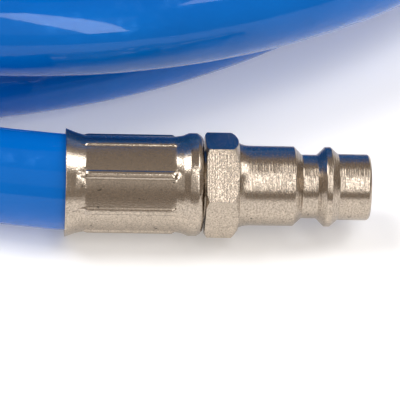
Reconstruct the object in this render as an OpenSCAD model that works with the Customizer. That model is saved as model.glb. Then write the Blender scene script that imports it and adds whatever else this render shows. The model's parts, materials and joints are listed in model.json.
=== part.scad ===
// A 10 m air hose wound into a coil, with a crimped quick-connect plug on one end
// and a quick-connect coupler on the other. It lies on the floor, which is at z = 0.

/* [Hose] */
// Outer diameter of the hose
hose_d = 14.5; // [14:0.1:15]
// Thickness of the straps under and around the coil
strap_t = 1; // [0.8:0.1:1.2]
// Width of a strap
strap_w = 12; // [8:1:16]

/* [Coil] */
// Radius of the hole in the middle of the coil
hole_r = 51; // [50:0.5:51.5]
// Outer radius of the two upper layers
stack_r = 118; // [117:0.5:119]
// Outer radius of the bottom layer
floor_r = 124.7; // [124:0.1:125.5]
// Outer radius of the slack turn that hangs over the right side
slack_r = 119; // [118:0.5:119.5]

/* [Plug] */
// Diameter of the nose's body and of its retaining ridge
nose_d = 12; // [11.9:0.05:12.05]
// Diameter of the neck that the balls hold
neck_d = 9.6; // [9.4:0.1:9.7]
// Diameter of the sealing tip
tip_d = 9.95; // [9.9:0.05:10]
// Bore of the plug
plug_bore_d = 7.2; // [7:0.1:7.4]
// Width of the plug's hexagon across its flats
plug_hex = 14; // [13.5:0.5:14.5]

/* [Ferrule] */
// Outer diameter of the crimped stretch
crimp_d = 14.4; // [14.2:0.1:14.6]
// Outer diameter of the flared rim
flare_d = 16.3; // [16:0.1:16.6]
// Length of the ferrule
ferrule_l = 20.6; // [20:0.1:21]

/* [Coupler] */
// Outer diameter of the release sleeve
sleeve_d = 24.6; // [24.2:0.1:25]
// Diameter of the socket's main bore
socket_d = 12.1; // [12.05:0.05:12.15]
// Diameter of a locking ball
ball_d = 4; // [3.9:0.05:4]
// Travel of the release sleeve
sleeve_travel = 4.5; // [4:0.1:4.5]

/* [Hidden] */
$fn = 96;
gap = 0.05;
cut = 0.5;

// Places, with the plug's axis along X and the coupler's along Y.
coil_x = -3.5;
coil_y = 8;
plug_y = -127.4;
plug_z = flare_d / 2;
tip_end_x = 76;
nose_l = 19.7;
hex_l = 5;
hex_x = tip_end_x - nose_l - hex_l;
layer_h = hose_d;
layers_top = strap_t + 4 * layer_h;
coupler_x = coil_x - 72;
coupler_y = 41;
coupler_z = layers_top + sleeve_d / 2 + 0.1;

// The coil's outer tiers are rings on centres of their own, because its turns aren't round it.
floor_shift = [-5.5, 1];
slack_shift = [18, -2.7];
floor_h = strap_t + hose_d;
slack_h = strap_t + 2 * hose_d;
top_turn_r = [94, 116];
top_turn_from = 250;
top_turn_to = 390;

// Straps: the angle of each, and the corners of its loop as [radius, height].
strap_at = [8, 120, 225];
strap_end_r = [123.4, 129, 131];
strap_top = [layers_top + hose_d, layers_top, layers_top];

// Ferrule and hose end, measured back from the hexagon along the fitting's axis.
ferrule_gap = 0.3;
shoulder_d = 15.5;
crimp_in_r = 6.45;
barb_l = 20.3;
barb_r = 4.2;
barb_pitch = 4.4;
tail_bore_r = 3;
layer_from = 2.2;
layer_to = 18.8;
liner_r = [4.6, 5.3];
braid_r = [5.3, 5.6];
cover_r = [5.6, 6.4];

// Coupler, measured from its mouth along its axis towards the hose.
ball_v = 8;
ball_reach = 4.95;
ball_count = 6;
ball_travel = 1.15;
body_r = 8.93;
land_r = 9;
chamber_r = 11;
sleeve_from = 0.4;
sleeve_to = 23.5;
flange_from = 24;
flange_to = 28.5;
body_end = 38;
seal_w = [13.4, 15.6];
ball_groove = [5.8, 10.2];
step_v = 12.4;
tip_bore_r = 5.05;
valve_v = 17.5;
valve_r = 7.4;
guide_v = 28;
tail_hex_v = 39;
tail_v = 45;
ramp_slope = ball_travel / sleeve_travel;
ball_r = ball_d / 2;
ball_at = ball_reach + ball_r;
ramp_r = ball_at + ball_r * sqrt(1 + ramp_slope * ramp_slope) + 0.04;
ramp_end_v = 3.5;
ramp_start_v = ball_v + (ramp_r - land_r) / ramp_slope;

// Routes of the free hose, as round numbers.
plug_route = [
    [-75, -94, 8.2], [-56, -106, 8.2], [-37, -113.5, 7.7], [-18, -119, 7.3], [1, -122, 7.3],
    [11, -123.5, 7.3], [20.5, -125.2, 7.4], [25.5, -126.2, 7.7], [29.5, -127, 8], [32.5, -127.4, 8.15]
];
coupler_route = [
    [-75.5, -22.8, 71.4], [-75.5, -30, 71], [-74, -41, 69.5], [-69.5, -53, 68], [-62.5, -64, 67],
    [-53.5, -73.5, 66.3], [-43.5, -81.5, 66.2], [-33, -87, 66.2]
];

// Colours
hose_blue = [0.02, 0.32, 0.72];
nickel = [0.78, 0.74, 0.68];
steel = [0.7, 0.7, 0.72];
strap_black = [0.08, 0.08, 0.09];
seal_black = [0.1, 0.1, 0.1];

// ---- Helpers ----

// Puts a fitting drawn along +Z, from its hexagon's rear face, onto the plug's axis.
module at_plug() {
    translate([hex_x, plug_y, plug_z]) rotate([0, 90, 0]) children();
}

// Puts a fitting drawn along +Z, from the coupler's mouth, onto the coupler's axis.
module at_coupler() {
    translate([coupler_x, coupler_y, coupler_z]) rotate([90, 0, 0]) children();
}

// Turns a fitting end drawn behind z = 0 to lie behind the coupler's tail.
module at_tail() {
    at_coupler() translate([0, 0, tail_v]) mirror([0, 0, 1]) children();
}

// A turned piece from an outline of [radius, length] points.
module turned(outline) {
    rotate_extrude() polygon(outline);
}

// A plain tube between two radii and two lengths.
module tube(radii, from, to) {
    turned([[radii[0], from], [radii[1], from], [radii[1], to], [radii[0], to]]);
}

// A hexagon with the corners of both faces chamfered.
module hexagon(flats, from, to, chamfer) {
    corner = flats / sqrt(3);
    intersection() {
        translate([0, 0, from]) cylinder(r = corner, h = to - from, $fn = 6);
        turned([
            [0, from], [corner - chamfer, from], [corner, from + chamfer * 0.6],
            [corner, to - chamfer * 0.6], [corner - chamfer, to], [0, to]
        ]);
    }
}

// Outline of the barbed tail that the hose is pushed over, from the hexagon's rear face at a
// length of "at" to its end on the axis. It runs towards +Z when "way" is 1 and -Z when it is -1.
function barbs(at, way) = [
    for (p = [
        [5.2, 0.9], [barb_r + 0.1, 1.3], [barb_r + 0.1, 5],
        for (i = [0:3]) each [[barb_r + 0.3, 5 + barb_pitch * i], [barb_r, 8.6 + barb_pitch * i]],
        [3.7, barb_l], [0, barb_l]
    ])
        [p[0], at + way * p[1]]
];

// Crimped sleeve: turned shell with eight narrow raised lines left between the dies.
module ferrule() {
    c = crimp_d / 2;
    s = shoulder_d / 2;
    f = flare_d / 2;
    end = -ferrule_gap;
    rim = end - ferrule_l;
    turned([
        [5.3, end], [7.2, end], [7.6, end - 0.35], [s, end - 1], [s, end - 2.1], [c, end - 3.9],
        [c, rim + 2.9], [c + 0.45, rim + 1.5], [f, rim + 0.8], [f, rim], [f - 0.5, rim],
        [7.35, rim + 0.9], [crimp_in_r, rim + 2.9], [crimp_in_r, end - 1.5], [5.3, end - 1.5]
    ]);
    for (i = [0:7])
        rotate([0, 0, 45 * i - 7])
            translate([-c - 0.15, -0.35, rim + 3.6]) cube([0.5, 0.7, ferrule_l - 8.2]);
}

// One layer of the hose's wall inside a ferrule.
module hose_layer(radii) {
    tube(radii, -layer_to, -layer_from);
}

// Helical spring as a swept tube along Z.
module spring(mean_r, wire_r, from, to, turns) {
    sides = 8;
    per_turn = 16;
    n = turns * per_turn;
    rise = (to - from - 2 * wire_r) / n;
    rings = [for (i = [0:n]) [
        let (a = 360 * i / per_turn, z = from + wire_r + rise * i)
        for (k = [0:sides - 1])
            let (b = 360 * k / sides, r = mean_r + wire_r * cos(b))
            [r * cos(a), r * sin(a), z + wire_r * sin(b)]
    ]];
    swept(rings, sides);
}

// Closed skin over a list of rings that hold the same number of points.
module swept(rings, sides) {
    last = len(rings) - 1;
    walls = [for (i = [0:last - 1], k = [0:sides - 1])
        let (a = i * sides + k, b = i * sides + (k + 1) % sides)
        [a, a + sides, b + sides, b]
    ];
    start = [for (k = [0:sides - 1]) k];
    end = [for (k = [sides - 1:-1:0]) last * sides + k];
    polyhedron([for (r = rings) each r], concat([start], walls, [end]));
}

function unit(v) = v / norm(v);
function heading(path, i) = unit(path[min(i + 1, len(path) - 1)] - path[max(i - 1, 0)]);

// Point on a smooth curve through p1 and p2, with p0 and p3 as their outer neighbours.
function bent(p0, p1, p2, p3, t) = 0.5 * (
    2 * p1 + (p2 - p0) * t + (2 * p0 - 5 * p1 + 4 * p2 - p3) * t * t
    + (3 * p1 - p0 - 3 * p2 + p3) * t * t * t
);
function smooth_route(p, steps) = [
    for (i = [0:len(p) - 2], s = [0:steps - 1])
        bent(p[max(i - 1, 0)], p[i], p[i + 1], p[min(i + 2, len(p) - 1)], s / steps),
    p[len(p) - 1]
];

// Round hose swept along a route.
module hose(route) {
    sides = 12;
    path = smooth_route(route, 2);
    rings = [for (i = [0:len(path) - 1])
        let (
            t = heading(path, i),
            side = unit(cross(t, [0, 0, 1])),
            up = cross(side, t)
        )
        [for (k = [0:sides - 1]) path[i]
            + hose_d / 2 * (cos(360 * k / sides) * up + sin(360 * k / sides) * side)]
    ];
    swept(rings, sides);
}

// Corners of a strap's loop, drawn in or out by an amount.
function loop(i, out) = [
    [hole_r - 0.2 - out, strap_t - out], [strap_end_r[i] + out, strap_t - out],
    [strap_end_r[i] + out, floor_h + out / 2], [stack_r + 0.2 + out, slack_h + out / 2],
    [stack_r + 0.2 + out, strap_top[i] + 0.2 + out],
    [hole_r - 0.2 - out, strap_top[i] + 0.2 + out]
];

module strap(i, room) {
    turn = strap_w / 110 * 180 / PI;
    spare = room * 0.5;
    translate([coil_x, coil_y, 0]) rotate([0, 0, strap_at[i] - turn / 2 - spare])
        rotate_extrude(angle = turn + 2 * spare) difference() {
            polygon(loop(i, strap_t + room));
            polygon(loop(i, -room));
        }
}

// ---- Hose ----

module hose_coil() {
    color(hose_blue) difference() {
        union() {
            translate([coil_x, coil_y, 0]) rotate_extrude($fn = 180)
                polygon([[20, 0], [stack_r, 0], [stack_r, layers_top], [20, layers_top]]);
            translate([coil_x + floor_shift[0], coil_y + floor_shift[1], 0])
                rotate_extrude($fn = 180) square([floor_r, floor_h]);
            translate([coil_x + slack_shift[0], coil_y + slack_shift[1], 0])
                rotate_extrude($fn = 180) square([slack_r, slack_h]);
        }
        translate([coil_x, coil_y, -cut]) cylinder(r = hole_r, h = layers_top + 2 * cut, $fn = 180);
        for (i = [0:2]) strap(i, gap);
    }
}

module hose_top_turn() {
    color(hose_blue) difference() {
        translate([coil_x, coil_y, 0]) rotate([0, 0, top_turn_from])
            rotate_extrude(angle = top_turn_to - top_turn_from, $fn = 180)
            translate([top_turn_r[0], layers_top])
            square([top_turn_r[1] - top_turn_r[0], hose_d]);
        strap(0, gap);
    }
}

module hose_plug_lead() {
    color(hose_blue) hose(plug_route);
}

module hose_coupler_lead() {
    color(hose_blue) hose(coupler_route);
}

module coil_tie_right() {
    color(strap_black) strap(0, 0);
}

module coil_tie_back() {
    color(strap_black) strap(1, 0);
}

module coil_tie_front() {
    color(strap_black) strap(2, 0);
}

// ---- Plug ----

module plug_body() {
    n = nose_d / 2;
    k = neck_d / 2;
    t = tip_d / 2;
    x = hex_l;
    color(nickel) at_plug() difference() {
        union() {
            rotate([0, 0, 7]) hexagon(plug_hex, 0, hex_l, 0.9);
            turned(concat(
                [
                    [0, x + nose_l], [t - 0.3, x + nose_l], [t, x + 19.4], [t, x + 15], [n, x + 13.92],
                    [n, x + 13.05], [k, x + 11.85], [k, x + 9.65], [n, x + 8.4], [n, x + 0.4],
                    [n + 0.9, x - 0.5], [5.2, x - 0.5]
                ],
                barbs(0, -1)
            ));
        }
        translate([0, 0, 1.5]) cylinder(d = plug_bore_d, h = hex_l + nose_l);
        translate([0, 0, -barb_l - cut]) cylinder(r = tail_bore_r, h = barb_l + hex_l);
    }
}

module plug_ferrule() {
    color(nickel) at_plug() ferrule();
}

module plug_end_liner() {
    color([0.75, 0.85, 0.9]) at_plug() hose_layer(liner_r);
}

module plug_end_braid() {
    color([0.92, 0.92, 0.88]) at_plug() hose_layer(braid_r);
}

module plug_end_cover() {
    color(hose_blue) at_plug() hose_layer(cover_r);
}

// ---- Coupler ----

module coupler_end_liner() {
    color([0.75, 0.85, 0.9]) at_tail() hose_layer(liner_r);
}

module coupler_end_braid() {
    color([0.92, 0.92, 0.88]) at_tail() hose_layer(braid_r);
}

module coupler_end_cover() {
    color(hose_blue) at_tail() hose_layer(cover_r);
}

module coupler_ferrule() {
    color(nickel) at_tail() ferrule();
}

module coupler_tail() {
    holes = 5;
    color(nickel) at_coupler() difference() {
        union() {
            hexagon(17, tail_hex_v, tail_v, 1);
            turned(concat(
                [[0, guide_v], [7.95, guide_v], [7.95, tail_hex_v + 1], [5.2, tail_hex_v + 1]],
                barbs(tail_v, 1)
            ));
        }
        translate([0, 0, guide_v - cut]) cylinder(r = 1.88, h = 5);
        translate([0, 0, 31]) cylinder(r = 6, h = 6);
        translate([0, 0, 34]) cylinder(r = tail_bore_r, h = tail_v + barb_l);
        for (i = [0:holes - 1])
            rotate([0, 0, 360 / holes * i])
                translate([4, 0, guide_v - cut]) cylinder(r = 1.3, h = 5, $fn = 32);
    }
}

module body_seal() {
    color(seal_black) at_coupler() tube([8.05, 9.3], body_end + 0.02, tail_hex_v - 0.02);
}

module coupler_body() {
    color(nickel) at_coupler() difference() {
        union() {
            turned([
                [0, 0], [8.4, 0], [body_r, 0.5], [body_r, 1.5], [8.2, 1.5], [8.2, 2.7],
                [body_r, 2.7], [body_r, flange_from], [10.9, flange_from],
                [10.9, flange_to], [9.4, flange_to], [9.4, body_end], [0, body_end]
            ]);
            hexagon(19, flange_to - 0.1, body_end - 1, 0.8);
        }
        turned([
            [0, -cut], [6.6, -cut], [6.6, 0], [socket_d / 2, 0.6], [socket_d / 2, ball_groove[0]],
            [6.25, ball_groove[0]], [6.25, ball_groove[1]], [socket_d / 2, ball_groove[1]],
            [socket_d / 2, step_v],
            [tip_bore_r, step_v], [tip_bore_r, seal_w[0]], [6.85, seal_w[0]],
            [6.85, seal_w[1]], [tip_bore_r, seal_w[1]], [tip_bore_r, valve_v],
            [valve_r, valve_v], [valve_r, guide_v], [8, guide_v], [8, body_end + cut],
            [0, body_end + cut]
        ]);
        for (i = [0:ball_count - 1])
            rotate([0, 90, 60 * i]) translate([-ball_v, 0, 5])
                cylinder(r = ball_r + gap, h = 5, $fn = 48);
    }
}

module locking_ball(i) {
    color(steel) at_coupler() rotate([0, 0, 60 * i]) translate([ball_at, 0, ball_v])
        sphere(r = ball_r, $fn = 48);
}

module release_sleeve() {
    s = sleeve_d / 2;
    color(nickel) at_coupler() turned([
        [chamber_r, sleeve_from], [s - 0.5, sleeve_from], [s, sleeve_from + 0.5],
        [s, 6], [s - 0.8, 6.8], [s - 0.8, 15.2], [s, 16], [s, 22.8], [s - 0.5, sleeve_to],
        [chamber_r, sleeve_to], [chamber_r, 14], [land_r, 14], [land_r, ramp_start_v],
        [ramp_r + ramp_slope * (ball_v - ramp_end_v), ramp_end_v],
        [ramp_r + ramp_slope * (ball_v - ramp_end_v), 2.8], [chamber_r, 2.8]
    ]);
}

module sleeve_spring() {
    color(steel) at_coupler() spring(9.95, 0.55, 14.1, 23.9, 5);
}

module retaining_ring() {
    color(steel) at_coupler() difference() {
        tube([8.25, 10.85], 1.55, 2.65);
        translate([0, -1.2, 1]) cube([12, 2.4, 2]);
    }
}

module plug_seal() {
    color(seal_black) at_coupler() rotate_extrude() translate([5.87, 14.5]) circle(r = 0.95, $fn = 32);
}

module valve_poppet() {
    color([0.85, 0.75, 0.45]) at_coupler() difference() {
        turned([
            [0, 15.7], [4.7, 15.7], [4.98, 16], [4.98, 18.4], [6.6, 18.4], [6.6, 20],
            [1.8, 20], [1.8, 30.2], [1.5, 30.5], [0, 30.5]
        ]);
        for (a = [0, 90])
            rotate([0, 0, a]) translate([-7, -1.2, 15]) cube([14, 2.4, 2.6]);
    }
}

module valve_seal() {
    color(seal_black) at_coupler() tube([5.03, 6.5], 17.55, 18.38);
}

module valve_spring() {
    color(steel) at_coupler() spring(6.3, 0.4, 20.05, 27.95, 5);
}

plug_body();
plug_ferrule();
plug_end_liner();
plug_end_braid();
plug_end_cover();
hose_plug_lead();
hose_coil();
hose_top_turn();
hose_coupler_lead();
coil_tie_right();
coil_tie_back();
coil_tie_front();
coupler_end_liner();
coupler_end_braid();
coupler_end_cover();
coupler_ferrule();
coupler_tail();
body_seal();
coupler_body();
locking_ball(0);  // locking_ball_1
locking_ball(1);  // locking_ball_2
locking_ball(2);  // locking_ball_3
locking_ball(3);  // locking_ball_4
locking_ball(4);  // locking_ball_5
locking_ball(5);  // locking_ball_6
release_sleeve();
sleeve_spring();
retaining_ring();
plug_seal();
valve_poppet();
valve_seal();
valve_spring();
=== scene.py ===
# %% [markdown]
# # A coiled air hose
#
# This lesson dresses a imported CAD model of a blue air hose. The hose lies in a coil, with a crimped
# quick-connect plug on one end and a quick-connect coupler on the other. The CAD model has the sizes
# and the moving parts. Here the hose gets its real length, the fittings get their fine edges, and
# every surface gets a finish.

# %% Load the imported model
import json
import math

import bpy
from mathutils import Matrix, Vector
from mathutils.geometry import interpolate_bezier

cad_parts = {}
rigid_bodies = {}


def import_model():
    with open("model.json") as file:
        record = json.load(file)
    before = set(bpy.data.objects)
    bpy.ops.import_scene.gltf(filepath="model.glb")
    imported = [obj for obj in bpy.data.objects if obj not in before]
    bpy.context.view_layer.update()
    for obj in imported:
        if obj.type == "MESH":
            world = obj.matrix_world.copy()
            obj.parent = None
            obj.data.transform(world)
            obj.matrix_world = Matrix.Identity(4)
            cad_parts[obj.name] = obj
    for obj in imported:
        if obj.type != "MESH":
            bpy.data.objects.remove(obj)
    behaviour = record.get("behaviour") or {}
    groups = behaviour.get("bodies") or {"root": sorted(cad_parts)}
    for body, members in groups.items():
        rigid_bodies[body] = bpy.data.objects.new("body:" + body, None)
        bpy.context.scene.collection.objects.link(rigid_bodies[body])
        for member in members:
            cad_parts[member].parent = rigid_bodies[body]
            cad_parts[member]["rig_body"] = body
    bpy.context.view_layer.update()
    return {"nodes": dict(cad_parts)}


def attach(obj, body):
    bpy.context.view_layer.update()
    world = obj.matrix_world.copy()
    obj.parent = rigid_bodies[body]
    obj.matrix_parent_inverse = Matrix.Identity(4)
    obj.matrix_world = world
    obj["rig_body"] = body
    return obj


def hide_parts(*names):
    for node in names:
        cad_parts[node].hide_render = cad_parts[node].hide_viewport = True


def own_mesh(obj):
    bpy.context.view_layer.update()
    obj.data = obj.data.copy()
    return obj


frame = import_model()
nodes = frame["nodes"]
MM = 0.001
print("CAD nodes:", len(nodes))

# %% [markdown]
# ## The camera
#
# A long lens looks at the plug from about half a metre, 42 degrees above the floor. The camera is
# set by the point that it looks at, the direction back to it and a small tilt, because those three
# are easy to reason about.

# %% Camera
LOOK_AT = Vector((51.3, -121.8, 0)) * MM
TO_CAMERA = Vector((-0.0595, -0.7408, 0.6691)).normalized()
CAMERA_FAR = 509.25 * MM
CAMERA_TILT = math.radians(3.99)
CAMERA_LENS, SENSOR_W = 299.7, 36

right = Vector((0, 0, 1)).cross(TO_CAMERA).normalized()
axes = Matrix((right, TO_CAMERA.cross(right), TO_CAMERA)).transposed().to_4x4()
bpy.ops.object.camera_add()
camera = bpy.context.object
camera.name = "camera"
place = Matrix.Translation(LOOK_AT + TO_CAMERA * CAMERA_FAR)
camera.matrix_world = place @ axes @ Matrix.Rotation(CAMERA_TILT, 4, "Z")
camera.data.lens = CAMERA_LENS
camera.data.sensor_width = SENSOR_W
camera.data.clip_end = 20
bpy.context.scene.camera = camera
bpy.context.scene.view_settings.view_transform = "Standard"
print("camera distance in metres:", round(CAMERA_FAR, 3))

# %% [markdown]
# ## The hose
#
# The hose is one tube, 14.5 mm thick and about 10 m long. Its route is the CAD model's: a few
# listed points for the free ends, and a coil in between. The coil has five layers. Each layer is a
# spiral that moves one hose diameter in or out on every turn, and the hose climbs from layer to
# layer at the ends of the spirals. A list of the radius at a few turning angles describes all of it.

# %% Facts of the hose
HOSE_D = 14.5
# The straps go under the coil and lift it by their thickness.
STRAP_T = 1.0
COIL_AT = (-3.5, 8.0)
# The free ends: from the coil to the plug, and from the coupler to the coil.
PLUG_ROUTE = [
    (-75, -94, 8.2), (-56, -106, 8.2), (-37, -113.5, 7.7), (-18, -119, 7.3), (1, -122, 7.3),
    (11, -123.5, 7.3), (20.5, -125.2, 7.4), (25.5, -126.2, 7.7), (29.5, -127, 8), (32.5, -127.4, 8.15),
]
COUPLER_ROUTE = [
    (-75.5, -22.8, 71.4), (-75.5, -30, 71), (-74, -41, 69.5), (-69.5, -53, 68), (-62.5, -64, 67),
    (-53.5, -73.5, 66.3), (-43.5, -81.5, 66.2), (-33, -87, 66.2),
]
# Turning angle in degrees and radius, from the top of the coil to the floor.
WINDING = [
    (-2978, 101.3), (-2925, 106), (-2850, 112), (-2770, 113.7), (-1412, 58.9), (-1322, 58.6),
    (100, 115.9), (145, 115.6), (190, 110.8), (263, 111.6), (550, 95.5), (1300, 65.3),
    (1420, 58.9), (1464, 58.6), (3104, 124.5),
]
# Angles between which the hose comes down by one layer.
DROPS = [(-2850, -2770), (-1412, -1322), (100, 190), (1362, 1464)]
# The slack turn rolls off the layer under it between these angles, and climbs back.
ROLL_FROM, ROLL_LENGTH, ROLL_BACK, ROLL_END, SLACK_END = 263.3, 160.6, 372, 434, 550
# Where it hangs over, it keeps a small gap; after that it is tucked in to its own layer's radius.
GAP, GAP_AT, GAP_SPAN = 1.3, 368, 40
TUCK_FROM, TUCK_R = 425, 95.5
# The slack turn lies this many turns before the floor's last turn, whose radius is known here.
TURNS_TO_FLOOR = 7
FLOOR_R, FLOOR_AT = 112.9, 2815
STEP = 6


def ease(x):
    """Goes from 0 to 1 with a soft start and a soft end."""
    x = min(max(x, 0.0), 1.0)
    return x * x * (3 - 2 * x)


def wound_radius(angle):
    """Radius of the winding at a turning angle."""
    for (a, ra), (b, rb) in zip(WINDING, WINDING[1:]):
        if angle <= b:
            return ra + (rb - ra) * (angle - a) / (b - a)
    return WINDING[-1][1]


def floor_radius(angle):
    """Radius of the bottom layer's spiral, whose last turn goes to the plug."""
    return FLOOR_R + HOSE_D * (angle - FLOOR_AT) / 360


def wound(angle):
    """Radius and height of the hose's centre at a turning angle, in millimetres."""
    radius = wound_radius(angle)
    layer = sum(1 - ease((angle - a) / (b - a)) for a, b in DROPS)
    lift = HOSE_D * layer
    if ROLL_FROM < angle < SLACK_END:
        over = ease(math.sqrt((angle - ROLL_FROM) / ROLL_LENGTH))
        over *= 1 - ease((angle - ROLL_BACK) / (ROLL_END - ROLL_BACK))
        tip = math.radians(90 * over)
        room = HOSE_D + GAP * ease(1 - abs(angle - GAP_AT) / GAP_SPAN)
        inwards = ease((angle - TUCK_FROM) / (SLACK_END - TUCK_FROM))
        outer = floor_radius(angle + 360 * TURNS_TO_FLOOR) + room * math.sin(tip)
        radius = outer + (TUCK_R - outer) * inwards
        lift = HOSE_D * math.cos(tip)
    return Vector((radius, STRAP_T + HOSE_D / 2 + lift))


def relaxed(points, times=3):
    """Evens out the corners where one rule of the winding meets the next."""
    for _ in range(times):
        middle = [(a + 2 * b + c) / 4 for a, b, c in zip(points, points[1:], points[2:])]
        points = [points[0], *middle, points[-1]]
    return points


def round_the_coil(angle, at):
    """The point of the coil at a turning angle, from its radius and height."""
    turn = math.radians(angle)
    return Vector((COIL_AT[0] + at[0] * math.cos(turn), COIL_AT[1] + at[0] * math.sin(turn), at[1]))


angles = range(WINDING[0][0], WINDING[-1][0] + 1, STEP)
winding = relaxed([wound(a) for a in angles])
winding = [round_the_coil(a, at) for a, at in zip(angles, winding)]
route = [Vector(p) for p in COUPLER_ROUTE] + winding + [Vector(p) for p in PLUG_ROUTE]
route = [p * MM for p in route]
print("hose route:", len(route), "points")

# %% [markdown]
# A curve is the natural form of a hose: it keeps one clean centreline, and its bevel gives it its
# thickness. Automatic handles carry the curve smoothly through points that are unevenly spaced. Once
# it is right it becomes a mesh, and its centreline is sampled to measure the hose's length.

# %% Make the hose
KNOT_STEPS = 3


def deselect():
    """Clears the selection, so that the next tool works on nothing else."""
    bpy.ops.object.select_all(action="DESELECT")


def select_only(piece):
    """Makes one piece the only selected one, and the active one."""
    deselect()
    piece.select_set(True)
    bpy.context.view_layer.objects.active = piece


curve = bpy.data.curves.new("air_hose", "CURVE")
curve.dimensions = "3D"
spline = curve.splines.new("BEZIER")
spline.bezier_points.add(len(route) - 1)
for knot, point in zip(spline.bezier_points, route):
    knot.co = point
    knot.handle_left_type = knot.handle_right_type = "AUTO"
curve.resolution_u = KNOT_STEPS
curve.bevel_depth = HOSE_D / 2 * MM
curve.bevel_resolution = 14
curve.use_fill_caps = True
hose = bpy.data.objects.new("air_hose", curve)
bpy.context.scene.collection.objects.link(hose)
bpy.context.view_layer.update()
centreline = []
for a, b in zip(spline.bezier_points, spline.bezier_points[1:]):
    steps = interpolate_bezier(a.co, a.handle_right, b.handle_left, b.co, KNOT_STEPS + 1)
    centreline += steps[:-1]
centreline.append(route[-1])
select_only(hose)
bpy.ops.object.convert(target="MESH")
hose = bpy.context.object
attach(hose, "hose")
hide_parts("hose_coil", "hose_top_turn", "hose_plug_lead", "hose_coupler_lead")
print("hose length in metres:", round(sum((b - a).length for a, b in zip(centreline, centreline[1:])), 3))

# %% [markdown]
# ## Turned metal
#
# Nearly every metal piece here was made on a lathe, so it is modelled the same way. One vertex is
# extruded from point to point along half of the piece's outline, and the outline is spun round the
# axis. Corners that the tool or the plating has rounded are given a radius, which becomes an arc.

# %% Helpers for turned pieces
# An axis is a starting point, the way along it and a way across it.
PLUG_AXIS = (Vector((51.3, -127.4, 8.15)) * MM, Vector((1, 0, 0)), Vector((0, 0, 1)))
COUPLER_AXIS = (Vector((-75.5, 41.0, 71.4)) * MM, Vector((0, -1, 0)), Vector((0, 0, 1)))
TAIL_AXIS = (Vector((-75.5, -4.0, 71.4)) * MM, Vector((0, 1, 0)), Vector((0, 0, 1)))
ROUND_STEPS = 4
# A corner's arc takes less than half of the shorter side next to it.
SIDE_SHARE = 0.49


def rounded(outline):
    """Outline points are (along, radius) or (along, radius, corner radius); corners become arcs."""
    flat = [Vector(p[:2]) for p in outline]
    made = []
    for i, point in enumerate(outline):
        here = flat[i]
        if len(point) < 3:
            made.append(here)
            continue
        before, after = flat[i - 1], flat[(i + 1) % len(flat)]
        to_a, to_b = (before - here).normalized(), (after - here).normalized()
        half = to_a.angle(to_b) / 2
        side = min((before - here).length, (after - here).length)
        reach = min(point[2] / math.tan(half), side * SIDE_SHARE)
        a, b = here + to_a * reach, here + to_b * reach
        for k in range(ROUND_STEPS + 1):
            t = k / ROUND_STEPS
            made.append(a * (1 - t) ** 2 + here * 2 * t * (1 - t) + b * t * t)
    return made


def in_place(axis, along, radius):
    """A point of an outline, in metres, in the model's frame."""
    start, way, side = axis
    return start + way * along * MM + side * radius * MM


def tidy_mesh(piece, smooth=30):
    """Merges doubles, turns faces outwards and smooths all but the sharp edges."""
    select_only(piece)
    bpy.ops.object.mode_set(mode="EDIT")
    bpy.ops.mesh.select_all(action="SELECT")
    bpy.ops.mesh.remove_doubles(threshold=0.004 * MM)
    bpy.ops.mesh.normals_make_consistent(inside=False)
    bpy.ops.object.mode_set(mode="OBJECT")
    bpy.ops.object.shade_smooth_by_angle(angle=math.radians(smooth))
    deselect()


def traced(name, points):
    """One vertex extruded from point to point; it is left in edit mode with all of it selected."""
    deselect()
    bpy.ops.mesh.primitive_plane_add(size=MM, location=points[0])
    piece = bpy.context.object
    piece.name = piece.data.name = name
    bpy.ops.object.transform_apply(location=True, rotation=True, scale=True)
    bpy.ops.object.mode_set(mode="EDIT")
    bpy.ops.mesh.select_all(action="SELECT")
    bpy.ops.mesh.merge(type="CENTER")
    for a, b in zip(points, points[1:]):
        bpy.ops.mesh.extrude_region_move(TRANSFORM_OT_translate={"value": b - a})
    bpy.ops.mesh.select_all(action="SELECT")
    return piece


def turned(name, axis, outline, steps=120):
    """Spins an outline of (along, radius) points in millimetres round an axis."""
    points = [in_place(axis, p[0], p[1]) for p in rounded(outline)]
    piece = traced(name, points + points[:1])
    bpy.ops.mesh.spin(steps=steps, angle=2 * math.pi, center=axis[0], axis=axis[1])
    bpy.ops.object.mode_set(mode="OBJECT")
    tidy_mesh(piece)
    print(name, "faces:", len(piece.data.polygons))
    return piece


def apply_modifier(piece, modifier):
    """Turns a modifier's result into the piece's own mesh."""
    select_only(piece)
    bpy.ops.object.modifier_apply(modifier=modifier.name)


def cut_with(piece, tool, operation):
    """Applies a boolean with a second piece, which is then thrown away."""
    modifier = piece.modifiers.new("cut", "BOOLEAN")
    modifier.operation = operation
    modifier.solver = "EXACT"
    modifier.object = tool
    apply_modifier(piece, modifier)
    bpy.data.objects.remove(tool)


# %% [markdown]
# ## The plug
#
# The plug is one piece of bar: a hexagon for the spanner, a body, a neck that the coupler's balls
# grip, a ridge, and a sealing tip, with a bore from end to end. The neck and the ridge are what make
# it a plug, so their slopes are kept exact and only their rims are eased.

# %% Plug nose
NOSE = [
    (-20.3, 3), (-20.3, 3.7, 0.1), (-18.2, 4.5), (-17.4, 4.2), (-13.8, 4.5), (-13, 4.2), (-9.4, 4.5),
    (-8.6, 4.2), (-5, 4.5), (-5, 4.3), (-1.3, 4.3), (-0.9, 5.2), (4.5, 5.2), (4.5, 6.75),
    (5, 6.5), (5.5, 6.22), (6.1, 6.06), (6.8, 6.0), (13.35, 6.0, 0.12), (14.6, 4.8, 0.18),
    (16.85, 4.8, 0.15), (18.05, 6.0, 0.14), (18.9, 6.0, 0.14), (20.05, 4.99, 0.2),
    (24.5, 4.975, 0.08), (24.85, 4.68, 0.15), (24.85, 3.85, 0.1), (24.5, 3.6), (1.5, 3.6), (1.5, 3),
]
nose = turned("plug_nose", PLUG_AXIS, NOSE, steps=144)


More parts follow.
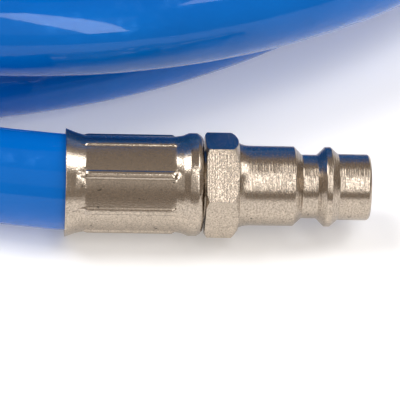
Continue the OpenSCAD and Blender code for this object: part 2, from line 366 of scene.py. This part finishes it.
# %% [markdown]
# The hexagon starts as a six-sided prism. A turned shape with sloping ends, wider than the flats but
# narrower than the corners, is kept in common with it. That leaves the curved chamfer lines that a
# lathe cuts across the corners of every hexagon.

# %% Hexagons
EDGE_W = 0.12
# A chamfer bends once on its way, at these shares of its length and of its depth.
BEND_ALONG, BEND_DEEP = 0.45, 0.42


def hexagon(name, axis, flats, start, end, chamfers, turn, hole):
    """A hexagon with turned chamfers of (length, depth) at its two ends and a hole through it."""
    corner = flats / math.sqrt(3)
    middle = in_place(axis, (start + end) / 2, 0)
    deselect()
    bpy.ops.mesh.primitive_cylinder_add(
        vertices=6, radius=corner * MM, depth=(end - start) * MM, location=middle
    )
    prism = bpy.context.object
    prism.name = prism.data.name = name
    prism.rotation_euler = axis[1].to_track_quat("Z", "Y").to_euler()
    bpy.ops.object.transform_apply(location=True, rotation=True, scale=True)
    prism.data.transform(
        Matrix.Translation(middle) @ Matrix.Rotation(math.radians(turn), 4, axis[1])
        @ Matrix.Translation(-middle)
    )
    edge = prism.modifiers.new("edge", "BEVEL")
    edge.width = EDGE_W * MM
    edge.segments = 2
    apply_modifier(prism, edge)
    (la, da), (lb, db) = chamfers
    blank = [
        (start - 1, hole), (start - 1, corner - da - 1), (start, corner - da),
        (start + la * BEND_ALONG, corner - da * BEND_DEEP), (start + la, corner + 0.1),
        (end - lb, corner + 0.1), (end - lb * BEND_ALONG, corner - db * BEND_DEEP),
        (end, corner - db), (end + 1, corner - db - 1), (end + 1, hole),
    ]
    cut_with(prism, turned("blank", axis, blank), "INTERSECT")
    tidy_mesh(prism, smooth=22)
    print(name, "faces:", len(prism.data.polygons))
    return prism


plug_hex = hexagon(
    "plug_hexagon", PLUG_AXIS, flats=14, start=0, end=5,
    chamfers=((0.5, 0.75), (1.1, 1.15)), turn=7, hole=5.0,
)

# %% Join the plug's two shapes
cut_with(nose, plug_hex, "UNION")
tidy_mesh(nose, smooth=26)
print(nose.name, "faces with its hexagon:", len(nose.data.polygons))
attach(nose, "hose")
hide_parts("plug_body")

# %% [markdown]
# ## The ferrules
#
# A ferrule is a thin sleeve that eight dies have pressed onto the hose. Its rear rim stays flared, its
# front rolls in behind the hexagon. Each die leaves a nearly flat band, and between the dies eight
# narrow ridges are left standing. The sleeve is turned first. Its rings of vertices are then moved
# in to the flats and out to the ridges, which keeps it one skin, as the real one is.

# %% Ferrule helper
RIM = -20.9
CRIMP_FROM, CRIMP_TO = RIM + 2.95, RIM + 16.5
SKIN_R, BORE_R = 7.17, 6.45
FERRULE = [
    (-0.3, 5.3), (-0.3, 7.0, 0.15), (-0.62, 7.42, 0.4), (-1.15, 7.74, 0.5), (-2.35, 7.74, 0.6),
    (-3.3, 7.35, 0.6), (-4.4, SKIN_R, 0.8),
]
# The crimped stretch has many short steps, so that it can be shaped.
FERRULE += [(CRIMP_TO - 0.45 * k, SKIN_R) for k in range(1, 30)]
FERRULE += [
    (CRIMP_FROM, SKIN_R, 0.5), (RIM + 1.5, 7.6, 0.8), (RIM + 0.12, 8.12, 0.1), (RIM, 8.1, 0.06),
    (RIM + 0.06, 7.75, 0.06), (RIM + 1.4, 7.3), (RIM + 2.9, BORE_R), (-1.8, BORE_R), (-1.8, 5.3),
]
DIES = 8
FLAT_R, FLATNESS, RIDGE_H = 7.08, 0.55, 0.15
# Half of a ridge's width and the width of its slope, in degrees round the sleeve.
RIDGE_HALF, RIDGE_SLOPE = 5.2, 1.8
# Only vertices outside this radius belong to the outer skin.
OUTSIDE_R = 6.9


def ferrule(name, axis, turn):
    """A crimped sleeve; turn places its eight ridges round the axis."""
    piece = turned(name, axis, FERRULE, steps=360)
    start, way, side = axis
    other = way.cross(side)
    half = 180 / DIES
    for v in piece.data.vertices:
        rel = v.co - start
        along = rel.dot(way) / MM
        out = rel - way * rel.dot(way)
        if out.length < OUTSIDE_R * MM or not CRIMP_FROM - 0.5 < along < CRIMP_TO + 0.4:
            continue
        angle = math.degrees(math.atan2(out.dot(other), out.dot(side))) - turn
        off = abs((angle + half) % (2 * half) - half)
        ends = ease((along - CRIMP_FROM + 0.35) / 0.6) * ease((CRIMP_TO + 0.2 - along) / 0.6)
        flat = FLAT_R + FLATNESS * FLAT_R * (1 / math.cos(math.radians(half - off)) - 1)
        target = flat + RIDGE_H * ease((RIDGE_HALF - off) / RIDGE_SLOPE)
        v.co = v.co + out.normalized() * (target - SKIN_R) * ends * MM
    piece.data.update()
    select_only(piece)
    bpy.ops.object.shade_smooth_by_angle(angle=math.radians(40))
    deselect()
    return piece


plug_ferrule = ferrule("plug_crimp", PLUG_AXIS, -7)
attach(plug_ferrule, "hose")
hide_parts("plug_ferrule")

coupler_ferrule = ferrule("coupler_crimp", TAIL_AXIS, 12)
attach(coupler_ferrule, "hose")
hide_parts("coupler_ferrule")

# %% [markdown]
# ## Finishes
#
# Every finish is a small node tree on the Principled shader. Patterns are measured in millimetres on
# the Object coordinates, so a lathe line or a weave keeps its real size on every piece.

# %% Node helpers
def new_finish(name, colour, roughness, metallic=0.0):
    """A material with its Principled shader and a coordinate in millimetres."""
    made = bpy.data.materials.new(name)
    made.use_nodes = True
    tree = made.node_tree
    shader = tree.nodes["Principled BSDF"]
    shader.inputs["Base Color"].default_value = (*colour, 1)
    shader.inputs["Roughness"].default_value = roughness
    shader.inputs["Metallic"].default_value = metallic
    where = tree.nodes.new("ShaderNodeTexCoord")
    scale = tree.nodes.new("ShaderNodeVectorMath")
    scale.operation = "SCALE"
    scale.inputs["Scale"].default_value = 1000
    tree.links.new(where.outputs["Object"], scale.inputs[0])
    return made, tree, shader, scale.outputs[0]


def noise(tree, where, scale, detail=2.0, roughness=0.5):
    """Noise whose grains are 1 / scale millimetres across."""
    made = tree.nodes.new("ShaderNodeTexNoise")
    made.inputs["Scale"].default_value = scale
    made.inputs["Detail"].default_value = detail
    made.inputs["Roughness"].default_value = roughness
    tree.links.new(where, made.inputs["Vector"])
    return made.outputs["Fac"]


def rings(tree, where, axis, scale, detail=3.0):
    """Noise that changes only along one axis, as lathe lines do."""
    parts = tree.nodes.new("ShaderNodeSeparateXYZ")
    tree.links.new(where, parts.inputs[0])
    made = tree.nodes.new("ShaderNodeTexNoise")
    made.noise_dimensions = "1D"
    made.inputs["Scale"].default_value = scale
    made.inputs["Detail"].default_value = detail
    tree.links.new(parts.outputs[axis], made.inputs["W"])
    return made.outputs["Fac"]


def ramp(tree, value, stops):
    """Colours or greys over a value: stops are (position, colour)."""
    made = tree.nodes.new("ShaderNodeValToRGB")
    keys = made.color_ramp.elements
    while len(keys) < len(stops):
        keys.new(0.5)
    for key, (at, colour) in zip(keys, stops):
        key.position = at
        key.color = (*colour, 1)
    tree.links.new(value, made.inputs["Fac"])
    return made.outputs["Color"]


def grey(level):
    """A grey of one level."""
    return (level, level, level)


def add_bump(tree, shader, heights, distance):
    """Sums (height, share) pairs into one bump; distance is in millimetres."""
    total = None
    for height, share in heights:
        part = tree.nodes.new("ShaderNodeMath")
        part.operation = "MULTIPLY_ADD"
        part.inputs[1].default_value = share
        part.inputs[2].default_value = 0.0
        tree.links.new(height, part.inputs[0])
        if total is not None:
            tree.links.new(total, part.inputs[2])
        total = part.outputs[0]
    bump = tree.nodes.new("ShaderNodeBump")
    bump.inputs["Strength"].default_value = 1.0
    bump.inputs["Distance"].default_value = distance * MM
    tree.links.new(total, bump.inputs["Height"])
    tree.links.new(bump.outputs["Normal"], shader.inputs["Normal"])


# %% [markdown]
# The hose is soft PVC: a clear blue, glossy, with the faint orange peel and the shallow waves that
# extruded PVC shows in its highlights. Under a thin clear coat the sheen is blue, as it is on a
# coloured plastic that lets light in.

# %% Hose finish
def hose_finish():
    """Glossy blue PVC."""
    made, tree, shader, where = new_finish("blue_pvc", (0.0, 0.14, 0.55), 0.2)
    shader.inputs["Specular IOR Level"].default_value = 0.2
    shader.inputs["Specular Tint"].default_value = (0.12, 0.45, 1, 1)
    shader.inputs["Coat Weight"].default_value = 0.8
    shader.inputs["Coat IOR"].default_value = 1.35
    shader.inputs["Coat Roughness"].default_value = 0.04
    cloud = noise(tree, where, 0.05, detail=3)
    colour = ramp(tree, cloud, [(0.3, (0.0, 0.125, 0.5)), (0.7, (0.0, 0.15, 0.58))])
    tree.links.new(colour, shader.inputs["Base Color"])
    peel = noise(tree, where, 1.2, detail=2, roughness=0.6)
    speck = noise(tree, where, 4.5, detail=1)
    wave = noise(tree, where, 0.14, detail=2)
    rough = ramp(tree, noise(tree, where, 0.9, detail=5), [(0.35, grey(0.12)), (0.7, grey(0.24))])
    tree.links.new(rough, shader.inputs["Roughness"])
    add_bump(tree, shader, [(peel, 0.03), (speck, 0.018), (wave, 0.9)], 0.6)
    return made


# %% [markdown]
# Nickel plate over turned steel has a warm tone. It is satin where the bar was left as rolled,
# with fine rings where the tool passed, and here and there a dark pit where the plating missed.

# %% Plated metal finish
NICKEL_TONE = (0.49, 0.42, 0.345)
SATIN, POLISHED = 0.28, 0.17
# The share of the rolled bar's grain that is left where the tool has passed.
TURNED_GRAIN = 0.22
# The change from one to the other takes this much of the length on each side.
GRAIN_FADE = 0.1


def nickel_finish(name, axis, ring_depth=0.5, grain=1.0, rolled_to=None):
    """Plated metal; up to rolled_to millimetres along the axis it keeps the grain of the rolled bar."""
    made, tree, shader, where = new_finish(name, NICKEL_TONE, SATIN, metallic=1.0)
    speck = noise(tree, where, 4.2, detail=3, roughness=0.8)
    dark = [c * 0.6 for c in NICKEL_TONE]
    light = [c * 1.2 for c in NICKEL_TONE]
    colour = ramp(tree, speck, [(0.36, dark), (0.62, light)])
    pits = ramp(tree, noise(tree, where, 1.7, detail=0), [(0.17, grey(0.3)), (0.2, grey(1.0))])
    mixed = tree.nodes.new("ShaderNodeMix")
    mixed.data_type = "RGBA"
    mixed.blend_type = "MULTIPLY"
    mixed.inputs["Factor"].default_value = 1.0
    tree.links.new(colour, mixed.inputs["A"])
    tree.links.new(pits, mixed.inputs["B"])
    tree.links.new(mixed.outputs["Result"], shader.inputs["Base Color"])
    lines = rings(tree, where, axis, 7.0, detail=4)
    fine = noise(tree, where, 4.8, detail=1, roughness=0.6)
    roughness = ramp(tree, speck, [(0.35, grey(SATIN)), (0.65, grey(POLISHED))])
    tree.links.new(roughness, shader.inputs["Roughness"])
    if rolled_to:
        parts = tree.nodes.new("ShaderNodeSeparateXYZ")
        tree.links.new(where, parts.inputs[0])
        zone = tree.nodes.new("ShaderNodeMapRange")
        zone.inputs["From Min"].default_value = rolled_to - GRAIN_FADE
        zone.inputs["From Max"].default_value = rolled_to + GRAIN_FADE
        zone.inputs["To Min"].default_value = 1.0
        zone.inputs["To Max"].default_value = TURNED_GRAIN
        tree.links.new(parts.outputs[axis], zone.inputs["Value"])
        damped = tree.nodes.new("ShaderNodeMath")
        damped.operation = "MULTIPLY"
        tree.links.new(fine, damped.inputs[0])
        tree.links.new(zone.outputs["Result"], damped.inputs[1])
        fine = damped.outputs[0]
    add_bump(tree, shader, [(lines, 0.03 * ring_depth), (fine, 0.03 * grain)], 1.0)
    return made


# %% [markdown]
# The other finishes need less. Steel, brass, rubber and the hose's inner layers share one tree with
# an uneven roughness and a fine grain. The straps are woven, and their yarns follow a UV map that is
# measured in millimetres, so that they run along the strap and over its bends.

# %% Other finishes
def plain_finish(name, colour, low, high, metallic=0.0, peel=1.0, bump=0.02):
    """A finish with uneven roughness and a fine grain."""
    made, tree, shader, where = new_finish(name, colour, low, metallic)
    patch = noise(tree, where, 0.8, detail=4)
    tree.links.new(ramp(tree, patch, [(0.35, grey(low)), (0.7, grey(high))]), shader.inputs["Roughness"])
    dark = [c * 0.82 for c in colour]
    tree.links.new(ramp(tree, patch, [(0.3, dark), (0.6, colour)]), shader.inputs["Base Color"])
    add_bump(tree, shader, [(noise(tree, where, 3.0 * peel, detail=3), bump)], 1.0)
    return made


def woven_finish(name, colour, pitch):
    """Crossing yarns on the piece's own UV map, which is in millimetres."""
    made, tree, shader, _ = new_finish(name, colour, roughness=0.75)
    shader.inputs["Sheen Weight"].default_value = 0.3
    uv = tree.nodes.new("ShaderNodeUVMap")
    uv.uv_map = "weave"
    heights = []
    for direction in ("X", "Y"):
        yarn = tree.nodes.new("ShaderNodeTexWave")
        yarn.bands_direction = direction
        yarn.inputs["Scale"].default_value = math.pi / 10 / pitch
        yarn.inputs["Distortion"].default_value = 0.4
        tree.links.new(uv.outputs["UV"], yarn.inputs["Vector"])
        heights.append(yarn.outputs["Fac"])
    # The low bands of the yarns are darkened to 45 percent: painted shade in the grooves of the weave.
    painted_groove_shade = ramp(tree, heights[0], [(0.1, [c * 0.45 for c in colour]), (0.8, colour)])
    tree.links.new(painted_groove_shade, shader.inputs["Base Color"])
    add_bump(tree, shader, [(heights[0], 0.12), (heights[1], 0.12)], 1.0)
    return made


# Where the plug's hexagon ends, along X in millimetres.
HEX_END = 56.3
blue_pvc = hose_finish()
plug_nickel = nickel_finish("plug_nickel", "X", rolled_to=HEX_END, ring_depth=1.0)
crimp_nickel = nickel_finish("crimp_nickel", "X", ring_depth=0.1, grain=0.45)
coupler_nickel = nickel_finish("coupler_nickel", "Y", ring_depth=0.8, grain=0.4)
coupler_crimp_nickel = nickel_finish("coupler_crimp_nickel", "Y", ring_depth=0.1, grain=0.45)
ball_steel = plain_finish("ball_steel", (0.62, 0.62, 0.63), 0.08, 0.16, metallic=1.0, bump=0.001)
spring_steel = plain_finish("spring_steel", (0.52, 0.52, 0.54), 0.25, 0.4, metallic=1.0, bump=0.004)
valve_brass = plain_finish("valve_brass", (0.62, 0.44, 0.18), 0.22, 0.36, metallic=1.0, bump=0.004)
seal_rubber = plain_finish("seal_rubber", (0.02, 0.02, 0.021), 0.5, 0.7, bump=0.02)
liner_pvc = plain_finish("liner_pvc", (0.55, 0.68, 0.78), 0.3, 0.45, bump=0.01)
yarn_braid = plain_finish("yarn_braid", (0.75, 0.75, 0.7), 0.7, 0.85, peel=2, bump=0.12)
strap_weave = woven_finish("strap_weave", (0.045, 0.045, 0.05), 1.3)
strap_thread = plain_finish("strap_thread", (0.16, 0.16, 0.165), 0.6, 0.8, peel=3, bump=0.05)


def dress(piece, material):
    """Gives a piece one material on all of its slots."""
    piece.data.materials.clear()
    piece.data.materials.append(material)


tidy_mesh(hose)
dress(hose, blue_pvc)
dress(nose, plug_nickel)
dress(plug_ferrule, crimp_nickel)
dress(coupler_ferrule, coupler_crimp_nickel)
print("dressed:", hose.name, nose.name, plug_ferrule.name, coupler_ferrule.name)

# %% [markdown]
# ## The straps
#
# Three woven straps keep the coil together. A strap is pulled tight, so its inside is the outline of
# the turns that it goes round: the convex hull of their circles where the strap crosses them. A
# ribbon is extruded along that outline and given a thickness. Its end lies over itself on top, with
# rounded corners and two rows of stitches.

# %% Strap outline
MIDDLE = Vector((*COIL_AT, 0))


def strap_ways(angle):
    """The way out from the coil's middle at an angle, and the way along its turns there."""
    way = Vector((math.cos(angle), math.sin(angle), 0))
    return way, Vector((-way.y, way.x, 0))


def crossings(angle, widest, highest):
    """Centres of the turns that a strap goes round, as (radius, height) in millimetres."""
    way, across = strap_ways(angle)
    found = []
    for a, b in zip(route, route[1:]):
        a, b = a / MM - MIDDLE, b / MM - MIDDLE
        da, db = a.dot(across), b.dot(across)
        if da * db <= 0 and a.dot(way) > 0 and da != db:
            p = a.lerp(b, da / (da - db))
            if p.dot(way) < widest and p.z < highest:
                found.append((p.dot(way), p.z))
    return found


def hull(points):
    """Convex hull of flat points, anticlockwise."""
    points = sorted(set(points))

    def half(run):
        side = []
        for p in run:
            while len(side) > 1:
                (ax, ay), (bx, by) = side[-2:]
                if (bx - ax) * (p[1] - ay) - (by - ay) * (p[0] - ax) > 0:
                    break
                side.pop()
            side.append(p)
        return side[:-1]

    return half(points) + half(points[::-1])


CIRCLE_STEPS = 24
LONGEST_STEP = 4


def strap_line(angle, widest, highest, grow):
    """The outline of a strap, drawn out by an amount, with no long steps."""
    reach = HOSE_D / 2 + grow
    rims = []
    for r, z in crossings(angle, widest, highest):
        for k in range(CIRCLE_STEPS):
            turn = k * math.pi / (CIRCLE_STEPS / 2)
            rims.append((round(r + reach * math.cos(turn), 3), round(z + reach * math.sin(turn), 3)))
    corners = hull(rims)
    line = []
    for (ar, az), (br, bz) in zip(corners, corners[1:] + corners[:1]):
        parts = max(1, round(math.dist((ar, az), (br, bz)) / LONGEST_STEP))
        line += [(ar + (br - ar) * k / parts, az + (bz - az) * k / parts) for k in range(parts)]
    return line


def stretch(line, length):
    """The first part of a line, of a given length."""
    part = [line[0]]
    for p in line[1:]:
        if length < 0.5:
            break
        step = min(math.dist(part[-1], p), length)
        part.append(tuple(Vector(part[-1]).lerp(Vector(p), step / math.dist(part[-1], p))))
        length -= step
    return part


# %% Ribbon helper
STRAP_W = 12
CORNER_R = 2.6


def ribbon(name, angle, line, closed, thick):
    """A strap of a given thickness that follows (radius, height) points at an angle of the coil."""
    way, across = strap_ways(angle)
    base = MIDDLE - across * STRAP_W / 2
    points = [(base + way * r + Vector((0, 0, z))) * MM for r, z in line]
    if closed:
        points.append(points[0])
    piece = traced(name, points)
    for _ in range(4):
        bpy.ops.mesh.extrude_region_move(TRANSFORM_OT_translate={"value": across * STRAP_W / 4 * MM})
    bpy.ops.mesh.select_all(action="SELECT")
    bpy.ops.mesh.remove_doubles(threshold=0.01 * MM)
    bpy.ops.mesh.normals_make_consistent(inside=False)
    bpy.ops.mesh.select_all(action="DESELECT")
    bpy.ops.object.mode_set(mode="OBJECT")
    if not closed:
        far = points[0] + across * STRAP_W * MM
        for v in piece.data.vertices:
            v.select = min((v.co - points[0]).length, (v.co - far).length) < 0.1 * MM
        bpy.ops.object.mode_set(mode="EDIT")
        bpy.ops.mesh.bevel(offset=CORNER_R * MM, segments=4, affect="VERTICES")
        bpy.ops.object.mode_set(mode="OBJECT")
    # The thickness goes on the side that faces away from a point among the turns.
    among = MIDDLE * MM + way * 0.09 + Vector((0, 0, 0.03))
    lead = piece.data.polygons[len(piece.data.polygons) // 2]
    outward = 1 if lead.normal.dot(lead.center - among) > 0 else -1
    skin = piece.modifiers.new("thickness", "SOLIDIFY")
    skin.thickness = thick * MM
    skin.offset = outward
    apply_modifier(piece, skin)
    edge = piece.modifiers.new("edge", "BEVEL")
    edge.width = 0.25 * MM
    edge.segments = 2
    edge.limit_method = "ANGLE"
    edge.angle_limit = math.radians(60)
    apply_modifier(piece, edge)
    tidy_mesh(piece, smooth=40)
    # The UV map holds millimetres: across the strap, and along it.
    reach = [0.0]
    for a, b in zip(points, points[1:]):
        reach.append(reach[-1] + (b - a).length / MM)
    layer = piece.data.uv_layers.active or piece.data.uv_layers.new()
    layer.name = "weave"
    for face in piece.data.polygons:
        centre = face.center - across * STRAP_W / 2 * MM
        near = min(range(len(points)), key=lambda i: (points[i] - centre).length)
        a, b = points[near], points[(near + 1) % len(points)]
        for loop in face.loop_indices:
            co = piece.data.vertices[piece.data.loops[loop].vertex_index].co
            along = reach[near] + (co - a).dot((b - a).normalized()) / MM if b != a else reach[near]
            layer.data[loop].uv = ((co - a).dot(across) / MM, along)
    return piece


BAND_T, END_T = 0.95, 0.9
# The free end lies just over the band, and reaches this far to either side of the corner.
END_OVER, END_DOWN, END_ALONG = 1.02, 28, 8


def strap(side, degrees, widest, highest):
    """A strap with its overlapping end. Gives the line of that end."""
    angle = math.radians(degrees)
    band = ribbon(f"tie_{side}", angle, strap_line(angle, widest, highest, 0), True, BAND_T)
    over = strap_line(angle, widest, highest, END_OVER)
    # The free end starts down the hole's side and lies along the top.
    corner = max(range(len(over)), key=lambda i: over[i][1] - over[i][0] / 2)
    over = over[corner:] + over[:corner]
    back = stretch(over[:1] + over[:0:-1], END_DOWN)[::-1] + stretch(over, END_ALONG)[1:]
    tail = ribbon(f"tie_{side}_end", angle, back, False, END_T)
    for piece in (band, tail):
        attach(piece, "hose")
        dress(piece, strap_weave)
    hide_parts(f"coil_tie_{side}")
    length = sum(math.dist(a, b) for a, b in zip(over, over[1:]))
    print(band.name, "length in millimetres:", round(length))
    return back


# %% [markdown]
# Each stitch is a short rounded rod of thread that lies half in the weave. One is made, and its
# copies are laid out in two rows across the free end.

# %% Stitches
THREAD_R, STITCH_LENGTH, STITCH_PITCH, STITCH_UP = 0.32, 2.1, 2.7, 0.95
STITCHES_IN_ROW = 4
ROWS_AT = (3.2, 7.2)


def stitches(side, degrees, back):
    """Two rows of thread across the free end of a strap."""
    way, across = strap_ways(math.radians(degrees))
    near, far = (way * r + Vector((0, 0, z)) for r, z in (back[0], back[3]))
    along = (far - near).normalized()
    out = across.cross(along)
    out = out if out.z > 0 else -out
    deselect()
    bpy.ops.mesh.primitive_cylinder_add(vertices=10, radius=THREAD_R * MM, depth=STITCH_LENGTH * MM)
    one = bpy.context.object
    ends = one.modifiers.new("ends", "BEVEL")
    ends.width = 0.25 * MM
    ends.segments = 3
    apply_modifier(one, ends)
    frame_of = Matrix((along, out, across)).transposed().to_4x4()
    row = []
    for step in ROWS_AT:
        for k in range(STITCHES_IN_ROW):
            copy = one.copy()
            copy.data = one.data.copy()
            aside = STITCH_PITCH * (k - (STITCHES_IN_ROW - 1) / 2)
            at = MIDDLE + near + along * step + across * aside + out * STITCH_UP
            copy.data.transform(Matrix.Translation(at * MM) @ frame_of)
            bpy.context.scene.collection.objects.link(copy)
            row.append(copy)
    bpy.data.objects.remove(one)
    deselect()
    for piece in row:
        piece.select_set(True)
    bpy.context.view_layer.objects.active = row[0]
    bpy.ops.object.join()
    row[0].name = row[0].data.name = f"tie_{side}_stitches"
    tidy_mesh(row[0], smooth=50)
    dress(row[0], strap_thread)
    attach(row[0], "hose")
    print(row[0].name, "stitches:", len(ROWS_AT) * STITCHES_IN_ROW)


# Name, place round the coil in degrees, and the radius and height past which turns are left out.
STRAPS = [("right", 8, 125, 90), ("back", 120, 140, 90), ("front", 225, 140, 60)]
for side, degrees, widest, highest in STRAPS:
    stitches(side, degrees, strap(side, degrees, widest, highest))

# %% [markdown]
# ## The coupler's sleeve
#
# The sleeve is what the hand pulls back, so it has a knurled band between two plain collars. It is
# turned like the plug. The knurl is formed afterwards: round that band the columns of vertices are
# moved out and in by turns, which makes fine straight teeth.

# %% Release sleeve
# Radii of the collars, the knurl's ground, the groove, the sliding land, the ramp's top and the
# spring's chamber.
COLLAR, GROUND, GROOVE = 12.3, 11.75, 11.95
LAND, RAMP, CHAMBER = 9.0, 10.2, 11.0
SLEEVE = [
    (0.4, 11.0), (0.4, 11.8, 0.2), (0.9, COLLAR, 0.35), (5.9, COLLAR, 0.3), (6.6, GROUND),
    (6.8, GROUND), (15.2, GROUND), (15.4, GROUND), (16.1, COLLAR, 0.3), (17.4, COLLAR, 0.15),
    (17.7, GROOVE, 0.1), (18.3, GROOVE, 0.1), (18.6, COLLAR, 0.15), (22.9, COLLAR, 0.35),
    (23.5, 11.8, 0.2), (23.5, CHAMBER), (14, CHAMBER), (14, LAND), (8.21, LAND), (3.5, RAMP),
    (2.8, RAMP), (2.8, CHAMBER),
]
TEETH, TOOTH_H, TOOTH_SUNK = 48, 0.5, 0.05
# The knurl is between these places along the axis, and outside this radius.
KNURL_FROM, KNURL_TO, KNURL_INSIDE = 6.7, 15.3, 11.3
sleeve = turned("release_sleeve_part", COUPLER_AXIS, SLEEVE, steps=288)
start, way, up = COUPLER_AXIS
for v in sleeve.data.vertices:
    along = (v.co - start).dot(way) / MM
    out = (v.co - start) - way * along * MM
    if KNURL_FROM < along < KNURL_TO and out.length > KNURL_INSIDE * MM:
        angle = math.degrees(math.atan2(out.dot(way.cross(up)), out.dot(up)))
        tooth = abs((angle * TEETH / 360) % 1 - 0.5) * 2
        rise = TOOTH_H * ease(1.5 * tooth - 0.25) - TOOTH_SUNK
        v.co = v.co + out.normalized() * rise * MM
sleeve.data.update()
tidy_mesh(sleeve, smooth=24)
dress(sleeve, coupler_nickel)
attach(sleeve, "sleeve")
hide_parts("release_sleeve")

# %% [markdown]
# ## Pieces that keep their CAD shape
#
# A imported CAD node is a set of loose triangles. A copy with its doubles merged can be shaded smoothly
# and rides in the node's place. The big machined ones also get their sharp edges eased.

# %% Smooth copies of CAD nodes
KEPT = {
    "plug_end_liner": liner_pvc, "plug_end_braid": yarn_braid, "plug_end_cover": blue_pvc,
    "coupler_end_liner": liner_pvc, "coupler_end_braid": yarn_braid, "coupler_end_cover": blue_pvc,
    "coupler_tail": coupler_nickel, "coupler_body": coupler_nickel, "body_seal": seal_rubber,
    "retaining_ring": spring_steel, "sleeve_spring": spring_steel, "valve_spring": spring_steel,
    "plug_seal": seal_rubber, "valve_seal": seal_rubber, "valve_poppet": valve_brass,
}
KEPT.update({f"locking_ball_{i}": ball_steel for i in range(1, 7)})
EASED = ("coupler_tail", "coupler_body", "valve_poppet")
BODY_OF = {n: o["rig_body"] for n, o in nodes.items()}


def smooth_copy(node):
    """A merged and smoothed copy that stands for a CAD node."""
    source = nodes[node]
    piece = bpy.data.objects.new(node + "_part", source.data.copy())
    bpy.context.scene.collection.objects.link(piece)
    select_only(piece)
    bpy.ops.object.mode_set(mode="EDIT")
    bpy.ops.mesh.select_all(action="SELECT")
    bpy.ops.mesh.remove_doubles(threshold=0.0005 * MM)
    if node in EASED:
        bpy.ops.mesh.dissolve_limited(angle_limit=math.radians(1))
    bpy.ops.object.mode_set(mode="OBJECT")
    if node in EASED:
        edge = piece.modifiers.new("edge", "BEVEL")
        edge.width = 0.15 * MM
        edge.segments = 1
        edge.angle_limit = math.radians(32)
        apply_modifier(piece, edge)
    bpy.ops.object.shade_smooth_by_angle(angle=math.radians(28))
    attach(piece, BODY_OF[node])
    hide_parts(node)
    return piece


copies = {}
for node, material in KEPT.items():
    copies[node] = smooth_copy(node)
    dress(copies[node], material)
print("smooth copies:", len(copies))

# %% [markdown]
# The two springs are squeezed when the sleeve or the valve moves back. Here each only gets a mesh of
# its own; the table lists its joint, its fixed end, its free length and its travel.

# %% Springs
# Node, joint, place of the fixed end along Y, free length and travel, in millimetres.
SPRINGS = [
    ("sleeve_spring", "sleeve_slide", 17.1, 9.8, 4.5), ("valve_spring", "valve_slide", 13.05, 7.9, 3.5),
]
for node, joint, fixed_end, length, travel in SPRINGS:
    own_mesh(copies[node])
print("springs:", len(SPRINGS))

# %% [markdown]
# The hose is one flexible thing. The pieces that hang on its far end are gathered in a list.

# %% Pieces on the hose's far end
on_the_cord = [coupler_ferrule, sleeve]
on_the_cord += [piece for node, piece in copies.items() if not node.startswith("plug_end")]
print("pieces on the cord:", len(on_the_cord))

# %% [markdown]
# ## Floor and light
#
# A plain pale floor takes four soft boxes. A broad faint one stands behind the camera. A tall narrow
# one beside it draws the long streak on the gloss of the hose. The two that are high on the left and
# on the right give most of the light, and the floor throws it back on the undersides of the metal.

# %% Floor, lights and world
bpy.ops.mesh.primitive_plane_add(size=4, location=(0, 0, 0))
floor = bpy.context.object
floor.name = "floor"
floor_paint = bpy.data.materials.new("floor_paper")
floor_paint.use_nodes = True
paper = floor_paint.node_tree.nodes["Principled BSDF"]
paper.inputs["Base Color"].default_value = (0.9, 0.9, 0.9, 1)
paper.inputs["Roughness"].default_value = 0.9
paper.inputs["Specular IOR Level"].default_value = 0.1
paper.inputs["Emission Color"].default_value = (1, 1, 1, 1)
paper.inputs["Emission Strength"].default_value = 0.24
floor.data.materials.append(floor_paint)


def soft_box(name, towards, far, size, power):
    """An area light that looks at the plug from a direction."""
    bpy.ops.object.light_add(type="AREA")
    lamp = bpy.context.object
    lamp.name = name
    lamp.data.shape = "RECTANGLE"
    lamp.data.size, lamp.data.size_y = size
    lamp.data.energy = power
    way = Vector(towards).normalized()
    lamp.location = LOOK_AT + way * far
    lamp.rotation_euler = way.to_track_quat("Z", "Y").to_euler()


soft_box("key_box", (-0.06, -0.69, 0.72), 1.0, (1.1, 0.7), 0.8)
soft_box("window_box", (0.29, -0.57, 0.77), 1.25, (0.18, 1.25), 4.5)
soft_box("left_box", (-0.5, 0.1, 0.85), 1.3, (0.6, 0.6), 7.5)
soft_box("right_box", (0.6, 0.1, 0.79), 1.3, (0.6, 0.6), 5.5)
world = bpy.data.worlds.new("studio")
world.use_nodes = True
world.node_tree.nodes["Background"].inputs["Color"].default_value = (0.3, 0.25, 0.21, 1)
world.node_tree.nodes["Background"].inputs["Strength"].default_value = 1.0
bpy.context.scene.world = world
